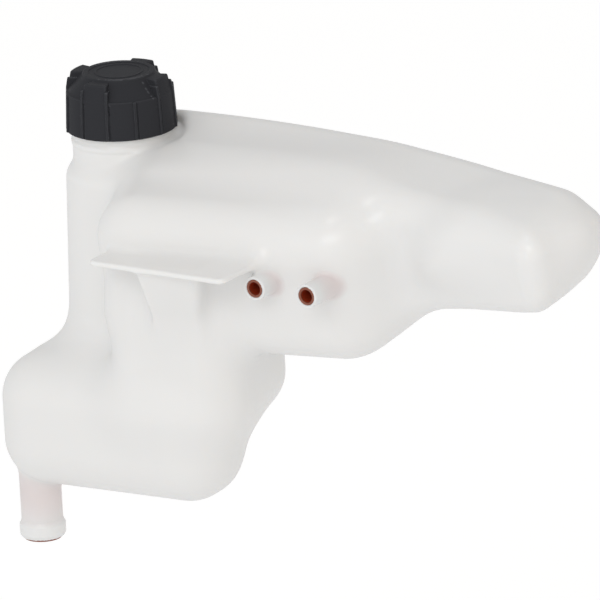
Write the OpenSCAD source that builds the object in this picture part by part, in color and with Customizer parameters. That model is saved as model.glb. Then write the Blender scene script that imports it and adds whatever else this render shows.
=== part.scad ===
// Coolant expansion tank: a one-piece blow-moulded bottle with a round filler column, a low leg with a
// hose spigot, a long upper chamber that ends in a nose, two vent nipples and a ledge to rest it on.
// A screw cap with a pressure valve and a vacuum valve closes the filler neck.
// X runs along the tank to the nose, Y to the back, Z up. The origin lies on the ledge's flat underside.

/* [Place of the filler axis] */
// Filler axis, left of the origin
neck_left = 48; // [40:1:56]
// Filler axis, behind the origin
neck_back = 75; // [70:1:80]
// Lower edge of the cap's skirt, above the origin
cap_foot_up = 44; // [41:1:48]

/* [Bottle wall] */
// Thickness of the moulded wall
wall = 2.8; // [2:0.1:3.4]
// Softness of the blends between the chambers
blend = 24; // [18:1:30]

/* [Filler column] */
// Radius of the column at its shoulder
column_r = 29; // [27:0.5:31]
// Radius of the column at its foot
column_foot_r = 33.5; // [31:0.5:36]
// Depth of the shoulder under the cap's lower edge
shoulder_down = 16; // [14:0.5:18]
// Rounding of the shoulder
shoulder_round = 8; // [6:0.5:10]

/* [Lower leg] */
// Reach of the leg to the left of the filler axis
leg_left = 50; // [46:1:54]
// Reach of the leg to the right of the filler axis
leg_right = 77; // [73:1:81]
// Reach of the leg in front of the filler axis
leg_front = 60; // [56:1:64]
// Depth of the leg from front to back
leg_deep = 54; // [50:1:60]
// Angle at which the leg's front recedes to the right
leg_turn = 5; // [3:1:8]
// Top of the leg under the cap's lower edge
leg_top_down = 110; // [106:1:114]
// Floor of the leg under the cap's lower edge
leg_floor_down = 178; // [172:1:184]
// Rounding of the leg
leg_round = 24; // [18:1:26]

/* [Stem between the leg and the upper chamber] */
// Left side of the stem, right of the filler axis
stem_left = 16; // [12:1:20]
// Right side of the stem, right of the filler axis
stem_right = 87; // [83:1:90]
// Reach of the stem behind the filler axis
stem_back = 24; // [20:1:28]
// Lower end of the stem under the cap's lower edge
stem_floor_down = 142; // [138:1:148]
// Rounding of the stem
stem_round = 21; // [17:1:23]

/* [Front bulge] */
// Left side of the bulge, right of the filler axis
bulge_left = 13; // [10:1:16]
// Right side of the bulge, right of the filler axis
bulge_right = 163; // [157:1:168]
// Reach of the bulge in front of the filler axis
bulge_front = 52; // [48:1:56]
// Top of the bulge under the cap's lower edge
bulge_top_down = 12; // [10:0.5:15]
// Floor of the bulge under the cap's lower edge
bulge_floor_down = 97; // [93:1:101]
// Angle at which the front wall recedes towards the nose
bulge_turn = 12; // [9:1:15]
// Rounding of the bulge
bulge_round = 24; // [20:1:28]

/* [Back chamber] */
// Reach of the back wall behind the filler axis
back_wall = 55; // [51:1:58]
// Right end of the back chamber, right of the filler axis
back_right = 278.5; // [274:0.5:284]
// Middle of the back chamber's floor under the cap's lower edge
back_floor_down = 80; // [76:1:84]
// Slope of the top towards the front, in degrees
top_slope = 15; // [12:1:17]
// Height that the chamber loses for each millimetre to the right
back_taper = 0.224; // [0.2:0.002:0.24]
// Fall of the top towards the nose, for each millimetre to the right
back_fall = 0.016; // [0:0.002:0.03]
// Radius of the bow of the back wall, seen from above
bow_r = 450; // [430:10:520]
// Rounding of the back chamber
back_round = 14; // [11:1:17]

/* [Nose] */
// Left side of the nose's bulge, right of the filler axis
nose_left = 202; // [196:1:208]
// Right end of the nose, right of the filler axis
nose_right = 284; // [279:1:288]
// Reach of the nose in front of the filler axis
nose_front = 31; // [28:1:34]
// Top of the nose under the cap's lower edge
nose_top_down = 12; // [10:1:15]
// Floor of the nose under the cap's lower edge
nose_floor_down = 43.5; // [41:0.5:47]
// Rounding of the nose
nose_round = 16; // [13:1:18]
// Lean of the nose's right end, whose top reaches further right, per millimetre of height
nose_rake = 0.6; // [0.3:0.05:0.8]

/* [Ledge and its web] */
// Width of the ledge along the tank
ledge_w = 81; // [70:1:90]
// Left end of the ledge, left of the origin
ledge_left = 13; // [12:1:16]
// Front edge of the ledge, in front of the origin
ledge_front = 11; // [9:1:14]
// Thickness of the ledge
ledge_t = 2.2; // [1.6:0.1:3]
// Radius of the ledge's free corners
ledge_corner = 4; // [2:0.5:8]
// Height of the flat land under the ledge, on which the tank rests
land_t = 0.4; // [0.3:0.1:0.8]
// Left side of the web under the ledge, right of the origin
web_left = 14; // [12:1:18]
// Width of the web under the ledge
web_w = 34; // [28:1:38]
// Depth of the web under the ledge
web_h = 44; // [36:1:50]
// Run of the web's face from the ledge's edge back to the wall
web_run = 27; // [24:1:34]
// Angle at which the web's face recedes to the right
web_turn = 11; // [8:1:14]
// Angle at which the web's right side leans in towards its foot
web_lean = 14; // [6:1:18]

/* [Hose spigot] */
// Outer radius of the spigot
spigot_r = 10.5; // [9.5:0.1:11.5]
// Radius of the hose bead
spigot_bead_r = 11.6; // [11:0.1:12.6]
// Wall of the spigot
spigot_wall = 2; // [1.6:0.1:2.4]
// Wall of the copper sleeve in the spigot
spigot_sleeve_wall = 1.3; // [0.9:0.1:1.8]
// Length of the copper sleeve in the spigot
spigot_sleeve_len = 30; // [20:1:36]
// Spigot axis, left of the filler axis
spigot_left = 36; // [33:1:39]
// Spigot axis, in front of the filler axis
spigot_front = 38; // [35:1:41]
// Lower end of the spigot under the cap's lower edge
spigot_end_down = 208; // [203:1:213]

/* [Vent nipples] */
// Outer radius of a nipple
nipple_r = 6.1; // [5.6:0.1:6.6]
// Outer radius of a copper sleeve in its nipple
sleeve_r = 4.6; // [4.2:0.1:4.9]
// Wall of a copper sleeve
sleeve_wall = 1.3; // [0.9:0.1:1.6]
// Length of a copper sleeve
sleeve_len = 22; // [18:1:26]
// First nipple, right of the filler axis
nipple_right = 118; // [114:1:122]
// Distance between the two nipples
nipple_pitch = 31; // [26:1:34]
// Nipple axes under the cap's lower edge
nipple_down = 52.5; // [50:0.5:55]
// Free ends of the nipples, in front of the filler axis
nipple_reach = 61; // [60:1:66]

/* [Filler neck] */
// Outer radius of the neck
neck_r = 25.2; // [24.6:0.1:25.6]
// Wall of the neck round its bore
neck_wall = 5.2; // [4.4:0.1:6]
// Rim of the neck above the cap's lower edge
rim_up = 15.5; // [14.8:0.1:16]
// Height by which the locking ring stands out from the neck
collar_out = 0.5; // [0.3:0.1:1]

/* [Cap] */
// Clearance between the neck and the cap's skirt
cap_gap = 0.6; // [0.5:0.1:1]
// Wall of the cap's skirt at its lower edge
skirt_foot_wall = 2.2; // [1.8:0.1:2.6]
// Wall of the cap's skirt at its top
skirt_top_wall = 1.2; // [1.1:0.1:1.6]
// Height of the skirt between the grips
skirt_h = 20.5; // [20.2:0.1:21]
// Height of the cap's top disc
cap_h = 29.6; // [29:0.1:31]
// Radius of the cap's top disc
disc_r = 18.4; // [17.6:0.1:19]
// Number of grips on the cap
grips = 4; // [3:1:6]
// Number of ribs on the cap's skirt
ribs = 12; // [6:1:16]
// Turn of the grips about the axis when the cap is closed
grip_turn = 8; // [0:1:45]
// Angle that one grip takes up
grip_angle = 30; // [24:1:36]
// Width of a rib
rib_w = 1.3; // [1:0.1:1.8]
// Height by which a rib stands out from the skirt
rib_out = 0.7; // [0.4:0.1:0.9]

/* [Pressure valve] */
// Clearance between the valve housing and the neck's bore
housing_gap = 1; // [0.9:0.1:1.4]
// Wall of the valve housing
housing_wall = 2.2; // [1.8:0.1:2.6]
// Depth of the valve housing under the cap's lower edge
housing_down = 10; // [8:0.5:12]
// Radius of the valve seat's opening
seat_r = 8.5; // [7.5:0.1:9]
// Thickness of the rim gasket
gasket_t = 1.6; // [1.2:0.1:1.8]
// Thickness of the housing's sealing ring
o_ring_t = 1.8; // [1.6:0.1:2]
// Wire radius of the pressure spring
spring_wire_r = 0.9; // [0.7:0.05:1.1]
// Coils of the pressure spring
spring_coils = 5; // [4:1:7]
// Radius of the pressure spring to its wire's middle
spring_r = 10; // [9:0.1:10.6]
// Thickness of the pressure plate
plate_t = 1.5; // [1.2:0.1:2]
// Thickness of the washer under the pressure plate
seal_t = 1.6; // [1.2:0.1:2]
// Width of a steam window in the housing
window_w = 9; // [6:0.5:10]

/* [Vacuum valve] */
// Radius of the vacuum valve's head
vacuum_head_r = 5; // [4.4:0.1:5.6]
// Radius of the vacuum valve's stem
vacuum_stem_r = 1.3; // [1:0.1:1.5]
// Radius of the hub that guides the stem
hub_r = 4.2; // [4:0.1:4.8]
// Wire radius of the vacuum spring
vacuum_wire_r = 0.35; // [0.25:0.05:0.45]
// Coils of the vacuum spring
vacuum_coils = 5; // [4:1:6]

/* [Hidden] */
// Running gap between round pieces, and the overlap by which a cut runs past its piece
gap = 0.3;
past = 0.5;
smooth = 96;
// Rings and points of the bottle's skin, the same outside and inside
skin_rings = 56;
skin_points = 44;
// Heights above the cap's lower edge, from the neck's rim up into the cap
flange_low = rim_up + gasket_t;
flange_t = 1.5;
flange_top = flange_low + flange_t;
lip_t = 1.4;
lip_top = flange_top + lip_t;
cover_low = lip_top + gap;
cover_t = 1.7;
cover_top = cover_low + cover_t;
roof_t = 3;
ceiling = cap_h - roof_t;
// Radii that follow the neck: its bore, the cap's skirt outside and inside, the valve housing with its
// flange, the cap's inner lip and the groove over it
neck_bore_r = neck_r - neck_wall;
cap_bore_r = neck_r + cap_gap;
cap_r = cap_bore_r + skirt_foot_wall;
cap_top_r = cap_bore_r + skirt_top_wall;
housing_r = neck_bore_r - housing_gap;
flange_in = 0.6;
flange_r = neck_r - flange_in;
lip_in = 7.8;
lip_r = cap_bore_r - lip_in;
groove_r = lip_r + 2.5;
lip_gap = 0.4;
housing_inner = housing_r - housing_wall;
// Heights of the valves under the cap's lower edge
floor_t = 2;
seat_up = 0.6;
seat_rim = 1;
seal_low = -housing_down + floor_t + seat_up;
plate_low = seal_low + seal_t;
plate_top = plate_low + plate_t;
plate_r = housing_inner - lip_gap;
hub_h = 2;
spring_up = 1.6;
spring_top = flange_top - spring_up;
clip_t = 0.9;
clip_up = 7;
clip_low = plate_top + hub_h + clip_up;
vacuum_wire_in = 1;
head_t = 1.2;
// Width by which the washer reaches past the housing's seat and over the vacuum valve's head
seat_land = 3.5;
head_land = 1.8;
// Points of a spring's wire along one coil and round the wire
spring_steps = 20;
spring_sides = 7;
vacuum_steps = 14;
vacuum_sides = 5;
// Groove for the housing's sealing ring
seal_groove = 1.1;
seal_up = 2;
// Small edges, the fillets where a pipe meets the bottle, and the depth by which it runs into it
edge = 0.5;
fillet = 3;
fillet_out = 1.5;
root_in = 9;

// Smallest number from 0 to 1 that is nearest to v
function unit(v) = min(1, max(0, v));
// Smaller of a and b, with the step between them rounded over the width k
function soft_min(a, b, k) = let (h = unit(0.5 + (b - a) / (2 * k))) b + (a - b) * h - k * h * (1 - h);
function flat2(a, b) = norm([max(a, 0), max(b, 0)]) + min(max(a, b), 0);
function flat3(q) = norm([for (v = q) max(v, 0)]) + min(max(q), 0);

// Distance from p to a rounded block between the corners lo and hi. turn swings it about Z, tilt leans
// its top to the front, taper is the height lost per millimetre of x and lift the rise of its middle.
// rake moves its top to the right per millimetre of height.
function block(p, lo, hi, r, turn = 0, tilt = 0, taper = 0, lift = 0, rake = 0) =
  let (d = p - (lo + hi) / 2,
       h = (hi - lo) / 2,
       along = d[0] * cos(turn) + d[1] * sin(turn),
       x = along - rake * d[2],
       y = d[1] * cos(turn) - d[0] * sin(turn),
       z = d[2] - lift * along,
       q = [abs(x) - h[0] + r,
            abs(y * cos(tilt) + z * sin(tilt)) - h[1] + r,
            abs(z * cos(tilt) - y * sin(tilt)) - h[2] + taper * x + r])
  flat3(q) - r;

// Distance from p to the round column, whose radius grows towards its foot
function column(p) =
  let (top = -shoulder_down,
       foot = -stem_floor_down - 4,
       t = unit((top - p[2]) / (top - foot)),
       r = column_r + (column_foot_r - column_r) * t,
       e = shoulder_round)
  flat2(norm([p[0], p[1]]) - r + e, abs(p[2] - (top + foot) / 2) - (top - foot) / 2 + e) - e;

// The back chamber's plan bows to the front, away from its broadest place
bow_x = 65;
function bowed(p) = [p[0], p[1] + pow(p[0] - bow_x, 2) / (2 * bow_r), p[2]];

// Depths from front to back, the back chamber's left end and top, and the stem's top
back_deep = 55;
bulge_deep = 68;
nose_deep = 39;
back_left = -4;
back_top_down = 1.2;
stem_top_down = 60;
// Angles at which the stem's front recedes more than the leg's, the nose's front recedes and its top
// leans to the front
stem_turn = 5;
nose_turn = 3;
nose_lean = 10;
// Height that the leg loses and rises of the middles of the leg and the nose, per millimetre to the right
leg_taper = 0.004;
leg_lift = -0.018;
nose_lift = 0.03;
// The stem's left crease widens towards the leg, from this depth on
crease_down = 85;
crease_run = 45;
crease_out = 12;
// Pocket that keeps the bottle clear of the cap
pocket_r = cap_r + 2.5;
pocket_down = 1.5;

// Distance from p to the whole bottle, measured from the filler axis at the cap's lower edge
function bottle(p) =
  let (leg = block(p, [-leg_left, -leg_front, -leg_floor_down],
                   [leg_right, leg_deep - leg_front, -leg_top_down], leg_round, leg_turn, 0, leg_taper,
                   leg_lift),
       stem = block(p, [stem_left, -leg_front, -stem_floor_down],
                    [stem_right, stem_back, -stem_top_down], stem_round, leg_turn + stem_turn),
       bulge = block(p, [bulge_left, -bulge_front, -bulge_floor_down],
                     [bulge_right, bulge_deep - bulge_front, -bulge_top_down],
                     bulge_round, bulge_turn, top_slope),
       back = block(bowed(p), [back_left, back_wall - back_deep, -back_floor_down],
                    [back_right, back_wall, -back_top_down], back_round, 0, top_slope,
                    (back_taper + back_fall) / 2, (back_taper - back_fall) / 2),
       nose = block(p, [nose_left, -nose_front, -nose_floor_down],
                    [nose_right, nose_deep - nose_front, -nose_top_down], nose_round, nose_turn,
                    nose_lean, 0, nose_lift, nose_rake),
       crease = blend / 2 + crease_out * unit((-p[2] - crease_down) / crease_run),
       low = soft_min(soft_min(column(p), leg, blend), stem, crease),
       high = soft_min(back, bulge, blend + 8),
       whole = soft_min(soft_min(low, high, blend / 2), nose, blend),
       pocket = flat2(norm([p[0], p[1]]) - pocket_r, -pocket_down - p[2]))
  -soft_min(-whole, pocket, blend / 4);

// Point where a straight line from t outside, back along dir to from, meets the bottle's surface, or
// the surface that lies depth under it
far = 240;
tries = 50;
near = 0.02;
function reach(from, dir, depth, t, steps) =
  let (f = bottle(from + t * dir) + depth)
  steps == 0 || abs(f) < near ? from + t * dir : reach(from, dir, depth, t - f * 0.95, steps - 1);

// The spine runs up the leg, bends over the corner between leg and upper chamber and ends in the nose.
// corner is that pivot in x and z, bend_in and bend_out the spine's distances from it
corner = [112, -122];
bend_in = 98;
bend_out = 66;
spine_y = -16;
spine_shift = 12;
nose_rise = 24;
foot_z = -leg_floor_down + leg_round + 2;
end_x = nose_right - nose_round - 10;
// Shares of the spine at which the foot, the leg, the bend and the upper chamber end
parts = [0.15, 0.3, 0.6, 0.87];
// At an end of the spine the lines swing by this angle from square across to straight ahead
swing = 86;

// Point of the spine at share s, the direction away from the corner, the way ahead and the swing
function along(s, i) = (s - parts[i]) / (parts[i + 1] - parts[i]);
function fan(a, r) = [[corner[0] - r * cos(a), spine_y + spine_shift * a / 135, corner[1] + r * sin(a)],
                      [-cos(a), 0, sin(a)], [sin(a), 0, cos(a)], 0];
function station(s) =
  s < parts[0] ? [[corner[0] - bend_in, spine_y, foot_z], [-1, 0, 0], [0, 0, -1],
                  swing * (1 - s / parts[0])]
  : s < parts[1] ? [[corner[0] - bend_in, spine_y, foot_z + (corner[1] - foot_z) * along(s, 0)],
                    [-1, 0, 0], [0, 0, 1], 0]
  : s < parts[2] ? fan(90 * along(s, 1), bend_in + (bend_out - bend_in) * along(s, 1))
  : s < parts[3] ? let (t = along(s, 2))
      [[corner[0] + (end_x - corner[0]) * t, spine_y + spine_shift * (2 + t) / 3,
        corner[1] + bend_out + nose_rise * t], [0, 0, 1], [1, 0, 0], 0]
  : [[end_x, spine_y + spine_shift, corner[1] + bend_out + nose_rise], [0, 0, 1], [1, 0, 0],
     swing * (s - parts[3]) / (1 - parts[3])];

// One point of the skin: ring s from 0 to 1, angle a about the spine
function skin_point(s, a, depth) =
  let (st = station(s),
       dir = (st[1] * cos(a) + [0, 1, 0] * sin(a)) * cos(st[3]) + st[2] * sin(st[3]))
  reach(st[0], dir, depth, far, tries);

// Closed skin of the bottle at a depth under its surface, as rings of points and a pole at each end
module skin(depth) {
  rings = skin_rings;
  points = skin_points;
  body = [for (i = [0 : rings - 1]) for (j = [0 : points - 1])
            skin_point(i / (rings - 1), 360 * j / points, depth)];
  first = reach(station(0)[0], [0, 0, -1], depth, far, tries);
  last = reach(station(1)[0], [1, 0, 0], depth, far, tries);
  low = rings * points;
  polyhedron(
    points = concat(body, [first, last]),
    faces = concat(
      [for (i = [0 : rings - 2]) for (j = [0 : points - 1])
        let (a = i * points + j, b = i * points + (j + 1) % points)
        each [[a, b + points, a + points], [a, b, b + points]]],
      [for (j = [0 : points - 1]) [low, (j + 1) % points, j]],
      [for (j = [0 : points - 1]) [low + 1, low - points + j, low - points + (j + 1) % points]]));
}

// Everything below is drawn from the filler axis and moved to the part's own frame by this
module at_filler() { translate([-neck_left, neck_back, cap_foot_up]) children(); }

// Round body turned from a profile of [radius, height] points
module turned(profile) { rotate_extrude($fn = smooth) polygon(profile); }
// Ring of square section between two heights
module ring(outer, inner, low, high) { turned([[inner, low], [outer, low], [outer, high], [inner, high]]); }

// Wire wound into a helix between two heights, as one closed skin
module coil(r, wire, low, high, turns, around, sides) {
  n = turns * around;
  rise = (high - low - 2 * wire) / n;
  slope = atan(rise * around / (360 * r * PI / 180));
  rim = [for (i = [0 : n]) for (j = [0 : sides - 1])
    let (a = 360 * i / around, b = 360 * j / sides, out = r + wire * cos(b), up = wire * sin(b))
    [out * cos(a) + up * sin(slope) * sin(a), out * sin(a) - up * sin(slope) * cos(a),
     low + wire + rise * i + up * cos(slope)]];
  polyhedron(
    points = rim,
    faces = concat(
      [for (i = [0 : n - 1]) for (j = [0 : sides - 1])
        let (a = i * sides + j, b = i * sides + (j + 1) % sides)
        each [[a, b, b + sides], [a, b + sides, a + sides]]],
      [[for (j = [sides - 1 : -1 : 0]) j], [for (j = [0 : sides - 1]) n * sides + j]]));
}

// Places on the bottle
spigot_at = [-spigot_left, -spigot_front, -spigot_end_down];
spigot_len = spigot_end_down - leg_floor_down;
spigot_bore_r = spigot_r - spigot_wall;
nipple_xs = [nipple_right, nipple_right + nipple_pitch];
// Length of the nipple at x, from its free end to the front wall
function nipple_len(x) = nipple_reach + reach([x, 0, -nipple_down], [0, -1, 0], 0, far, tries)[1];
// Draws a piece along the nipple at x, from its free end to the wall
module at_nipple(x) { translate([x, -nipple_reach, -nipple_down]) rotate([-90, 0, 0]) children(); }

// Neck with a locking ring under the cap and a soft step down to the column
collar_down = 3;
collar_h = 4;
neck_foot = -shoulder_down;
neck_foot_r = column_r - 1;
neck_in = 14;
module neck_outside() {
  turned([[0, rim_up], [neck_r - 2 * edge, rim_up], [neck_r, rim_up - 2 * edge], [neck_r, -collar_down],
          [neck_r + collar_out, -collar_down - collar_h / 4],
          [neck_r + collar_out, -collar_down - collar_h * 3 / 4], [neck_r, -collar_down - collar_h],
          [neck_r, neck_foot + 4.5], [neck_r + edge, neck_foot + fillet / 2],
          [neck_foot_r - 1, neck_foot - 2], [neck_foot_r, neck_foot - 8],
          [neck_foot_r - fillet, neck_foot - neck_in], [0, neck_foot - neck_in]]);
}

// Spigot with a hose bead at its end, let into the leg's rounded floor
bead_low = 2;
bead_top = 7;
bead_run = 2;
spigot_in = 24;
module spigot_outside() {
  translate(spigot_at)
    turned([[0, 0], [spigot_r - edge, 0], [spigot_bead_r, bead_low], [spigot_bead_r, bead_top],
            [spigot_r, bead_top + bead_run], [spigot_r, spigot_len + spigot_in],
            [0, spigot_len + spigot_in]]);
}

// Nipple from its free end through the front wall, with a fillet at the wall
module nipple_outside(x) {
  len = nipple_len(x);
  at_nipple(x)
    turned([[0, 0], [nipple_r - edge, 0], [nipple_r, edge], [nipple_r, len - fillet],
            [nipple_r + fillet_out, len], [nipple_r + fillet_out, len + root_in], [0, len + root_in]]);
}

// Flat ledge that stands out from the front wall. The land under its left end, clear of the web and of
// the wall, lies at the height of the origin
ledge_in = 46;
land_in = 1.5;
land_x = neck_left - ledge_left + ledge_corner;
land_deep = ledge_front + neck_back + reach([land_x, 0, -cap_foot_up], [0, -1, 0], 0, far, tries)[1]
            - 2 * land_in;
land_w = ledge_left + web_left - ledge_corner - land_in - (land_in + land_deep) * tan(web_turn);
module ledge() translate([neck_left - ledge_left, -neck_back - ledge_front, -cap_foot_up]) {
  translate([0, 0, land_t]) linear_extrude(ledge_t - land_t) {
    translate([0, ledge_corner]) square([ledge_w, ledge_in - ledge_corner]);
    translate([ledge_corner, 0]) square([ledge_w - 2 * ledge_corner, ledge_in]);
    for (x = [ledge_corner, ledge_w - ledge_corner])
      translate([x, ledge_corner]) circle(r = ledge_corner, $fn = smooth);
  }
  translate([ledge_corner, land_in, 0]) cube([land_w, land_deep, ledge_t / 2]);
}

// Web under the ledge: its face recedes to the right and runs in a hollow curve from the ledge's edge
// back to the front wall
web_steps = 8;
web_bow = 1.35;
web_curl = 1.25;
web_in = 16;
web_edge = 2;
module web() {
  front = web_edge - ledge_front;
  back = front + web_run + web_in;
  face = [for (i = [0 : web_steps]) let (t = i / web_steps)
           [front + web_run * pow(t, web_bow), -web_h * (1 - pow(1 - t, web_curl))]];
  translate([neck_left + web_left, front - neck_back, -cap_foot_up + land_t + edge])
    rotate([0, 0, web_turn]) translate([0, -front, 0]) difference() {
      rotate([90, 0, 90]) linear_extrude(web_w) polygon(concat(face, [[back, -web_h], [back, 0]]));
      translate([web_w, front - web_in, 0]) rotate([0, 90 + web_lean, 0])
        cube([2 * web_h, web_run + 3 * web_in, web_w]);
    }
}

// Bottle with its wall, and the bores of the neck, the spigot and the nipples
bore_in = 20;
module tank() color("ghostwhite") at_filler() difference() {
  union() {
    skin(0);
    neck_outside();
    spigot_outside();
    for (x = nipple_xs) nipple_outside(x);
    ledge();
    web();
  }
  skin(wall);
  translate([0, 0, neck_foot - bore_in])
    cylinder(r = neck_bore_r, h = rim_up - neck_foot + bore_in + past, $fn = smooth);
  translate(spigot_at - [0, 0, past])
    cylinder(r = spigot_bore_r, h = spigot_len + spigot_in + past, $fn = smooth);
  for (x = nipple_xs) at_nipple(x) translate([0, 0, -past])
    cylinder(r = sleeve_r, h = nipple_len(x) + root_in + past, $fn = smooth);
}

// Copper sleeve pressed into a nipple, flush with the nipple's end
module vent_sleeve(i) color("peru") at_filler()
  at_nipple(nipple_xs[i]) ring(sleeve_r, sleeve_r - sleeve_wall, 0, sleeve_len);

// Copper sleeve in the spigot, with a thin rim that shows under the spigot's end
rim_t = 0.8;
module spigot_sleeve() color("peru") at_filler() translate(spigot_at) {
  inner = spigot_bore_r - spigot_sleeve_wall;
  turned([[inner, -rim_t], [spigot_r - 2 * edge, -rim_t], [spigot_r - 2 * edge, 0], [spigot_bore_r, 0],
          [spigot_bore_r, spigot_sleeve_len], [inner, spigot_sleeve_len]]);
}

// Cap: turned skirt and top disc, a sloping face between them, raised grips and narrow ribs. Inside,
// a lip holds the valve cover, and slots in the ceiling let steam out past the flange.
dish = 0.5;
dish_rim = 2.6;
slope_low = 1.6;
grip_drop = 0.8;
grip_edge = 1.6;
slots = 4;
slot_w = 3;
slot_h = 0.8;
module cap_shell() color("dimgray") at_filler() difference() {
  union() {
    turned([[0, 0], [cap_r - edge, 0], [cap_r, edge], [cap_top_r, skirt_h - edge],
            [cap_top_r - edge, skirt_h], [disc_r + edge, cap_h - slope_low], [disc_r, cap_h - edge],
            [disc_r - edge, cap_h], [disc_r - dish_rim, cap_h], [disc_r - dish_rim - edge, cap_h - dish],
            [0, cap_h - dish]]);
    for (i = [0 : grips - 1]) rotate([0, 0, grip_turn + 360 * i / grips]) grip();
    for (i = [0 : ribs - 1]) rotate([0, 0, grip_turn + 360 * (i + 0.5) / ribs]) rib();
  }
  turned([[0, -past], [cap_bore_r + edge, -past], [cap_bore_r, edge], [cap_bore_r, flange_top],
          [lip_r, flange_top], [lip_r, lip_top], [groove_r, lip_top], [groove_r, cover_top + gap],
          [disc_r - slope_low, ceiling], [0, ceiling]]);
  for (i = [0 : slots - 1]) rotate([0, 0, 360 * i / slots])
    translate([lip_r - edge, -slot_w / 2, flange_top - past])
      cube([cap_bore_r - lip_r, slot_w, slot_h + past]);
}

// Grip: a wedge of the cap's plan that stands up from the sloping face to just under the top disc
module grip() {
  side = 2 * cap_r * tan(grip_angle / 2);
  top = cap_h - grip_drop;
  intersection() {
    turned([[0, 2 * edge], [cap_r, 2 * edge], [cap_top_r + edge / 2, skirt_h], [cap_top_r, top - grip_edge],
            [cap_top_r - grip_edge, top - edge / 2], [cap_top_r - 2 * grip_edge, top], [0, top]]);
    linear_extrude(cap_h) polygon([[0, 0], [2 * cap_r, -side], [2 * cap_r, side]]);
  }
}

// Rib along the skirt
module rib() {
  translate([0, rib_w / 2, 0]) rotate([90, 0, 0]) linear_extrude(rib_w)
    polygon([[cap_r - edge * 3, edge], [cap_r + rib_out, edge], [cap_top_r + rib_out, skirt_h - edge * 2],
             [cap_top_r, skirt_h - edge / 2], [cap_top_r - edge * 3, skirt_h - edge]]);
}

// Flat gasket between the neck's rim and the housing's flange
module rim_gasket() color("black") at_filler()
  ring(neck_r - 2 * edge, neck_bore_r + lip_gap, rim_up, flange_low);

// Housing of the valves: a flanged cup with a groove for its seal, steam windows above it and the
// valve's raised seat in its floor
window_low = 6;
window_h = 5;
windows = 4;
module valve_housing() color("darkslategray") at_filler() difference() {
  half = o_ring_t / 2 + gap / 2;
  groove = housing_r - seal_groove;
  floor_top = -housing_down + floor_t;
  turned([[seat_r, -housing_down], [housing_r - edge * 2, -housing_down],
          [housing_r, -housing_down + edge * 2], [housing_r, seal_up - half], [groove, seal_up - half],
          [groove, seal_up + half], [housing_r, seal_up + half], [housing_r, flange_low],
          [flange_r, flange_low], [flange_r, flange_top], [housing_inner, flange_top],
          [housing_inner, floor_top], [seat_r + seat_rim, floor_top], [seat_r + seat_rim, seal_low],
          [seat_r, seal_low]]);
  for (i = [0 : windows - 1]) rotate([0, 0, 360 * (i + 0.5) / windows])
    translate([housing_inner - 1, -window_w / 2, window_low])
      cube([housing_wall + 2, window_w, window_h]);
}

// Cover that closes the housing, snaps in over the cap's lip and carries the pressure spring
spring_seat = spring_r + spring_wire_r + 2 * gap;
plug_h = 3;
vents = 4;
vent_r = 1.6;
vent_in = 4;
module housing_cover() color("darkslategray") at_filler() difference() {
  turned([[0, spring_top], [spring_seat, spring_top], [spring_seat, flange_top - plug_h],
          [housing_inner - lip_gap, flange_top - plug_h], [housing_inner - lip_gap, flange_top],
          [lip_r - lip_gap, flange_top], [lip_r - lip_gap, cover_low], [groove_r - edge, cover_low],
          [groove_r - edge, cover_top], [0, cover_top]]);
  for (i = [0 : vents - 1]) rotate([0, 0, 360 * i / vents])
    translate([spring_r - vent_in, 0, spring_top - past])
      cylinder(r = vent_r, h = cover_top - spring_top + 2 * past, $fn = smooth / 3);
}

// Rubber ring that seals the housing in the neck's bore
module housing_seal() color("black") at_filler() translate([0, 0, seal_up])
  rotate_extrude($fn = smooth) translate([housing_r - seal_groove + o_ring_t / 2, 0])
    circle(d = o_ring_t, $fn = smooth / 3);

// Plate that the pressure spring holds down: a raised ring centres the spring, notches in its edge let
// steam past, and a hub guides the vacuum valve
ring_h = 1;
ring_w = 1.2;
notches = 6;
notch_r = 2.4;
flow_r = 0.6;
module pressure_plate() color("silver") at_filler() difference() {
  centre_r = spring_r - spring_wire_r - lip_gap;
  hole_r = vacuum_stem_r + gap;
  turned([[hole_r, plate_low], [plate_r, plate_low], [plate_r, plate_top], [centre_r, plate_top],
          [centre_r, plate_top + ring_h], [centre_r - ring_w, plate_top + ring_h],
          [centre_r - ring_w, plate_top],
          [hub_r, plate_top], [hub_r, plate_top + hub_h], [hole_r, plate_top + hub_h]]);
  for (i = [0 : notches - 1]) rotate([0, 0, 360 * i / notches]) translate([plate_r, 0, plate_low - past])
    cylinder(r = notch_r, h = plate_t + 2 * past, $fn = smooth / 3);
  for (i = [0 : vents - 1]) rotate([0, 0, 360 * i / vents]) translate([hole_r + gap, 0, plate_low - past])
    cylinder(r = flow_r, h = plate_t + hub_h + 2 * past, $fn = smooth / 4);
}

// Rubber washer under the plate, for the housing's seat and for the vacuum valve's head
module pressure_seal() color("black") at_filler()
  ring(seat_r + seat_land, vacuum_head_r - head_land, seal_low, plate_low);

module pressure_spring() color("lightgray") at_filler()
  coil(spring_r, spring_wire_r, plate_top, spring_top, spring_coils, spring_steps, spring_sides);

// Vacuum valve: a head that closes the washer from below, on a thin stem through the plate's hub
module vacuum_valve() color("silver") at_filler() {
  low = seal_low - head_t;
  tip_up = clip_low + clip_t;
  neck = vacuum_stem_r - gap;
  turned([[0, low], [vacuum_head_r - edge, low], [vacuum_head_r, low + edge], [vacuum_head_r, seal_low],
          [vacuum_stem_r, seal_low], [vacuum_stem_r, clip_low], [neck, clip_low], [neck, tip_up],
          [vacuum_stem_r, tip_up], [neck, tip_up + edge], [0, tip_up + edge]]);
}

module vacuum_spring() color("lightgray") at_filler()
  coil(hub_r - vacuum_wire_in, vacuum_wire_r, plate_top + hub_h, clip_low, vacuum_coils,
       vacuum_steps, vacuum_sides);

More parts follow.
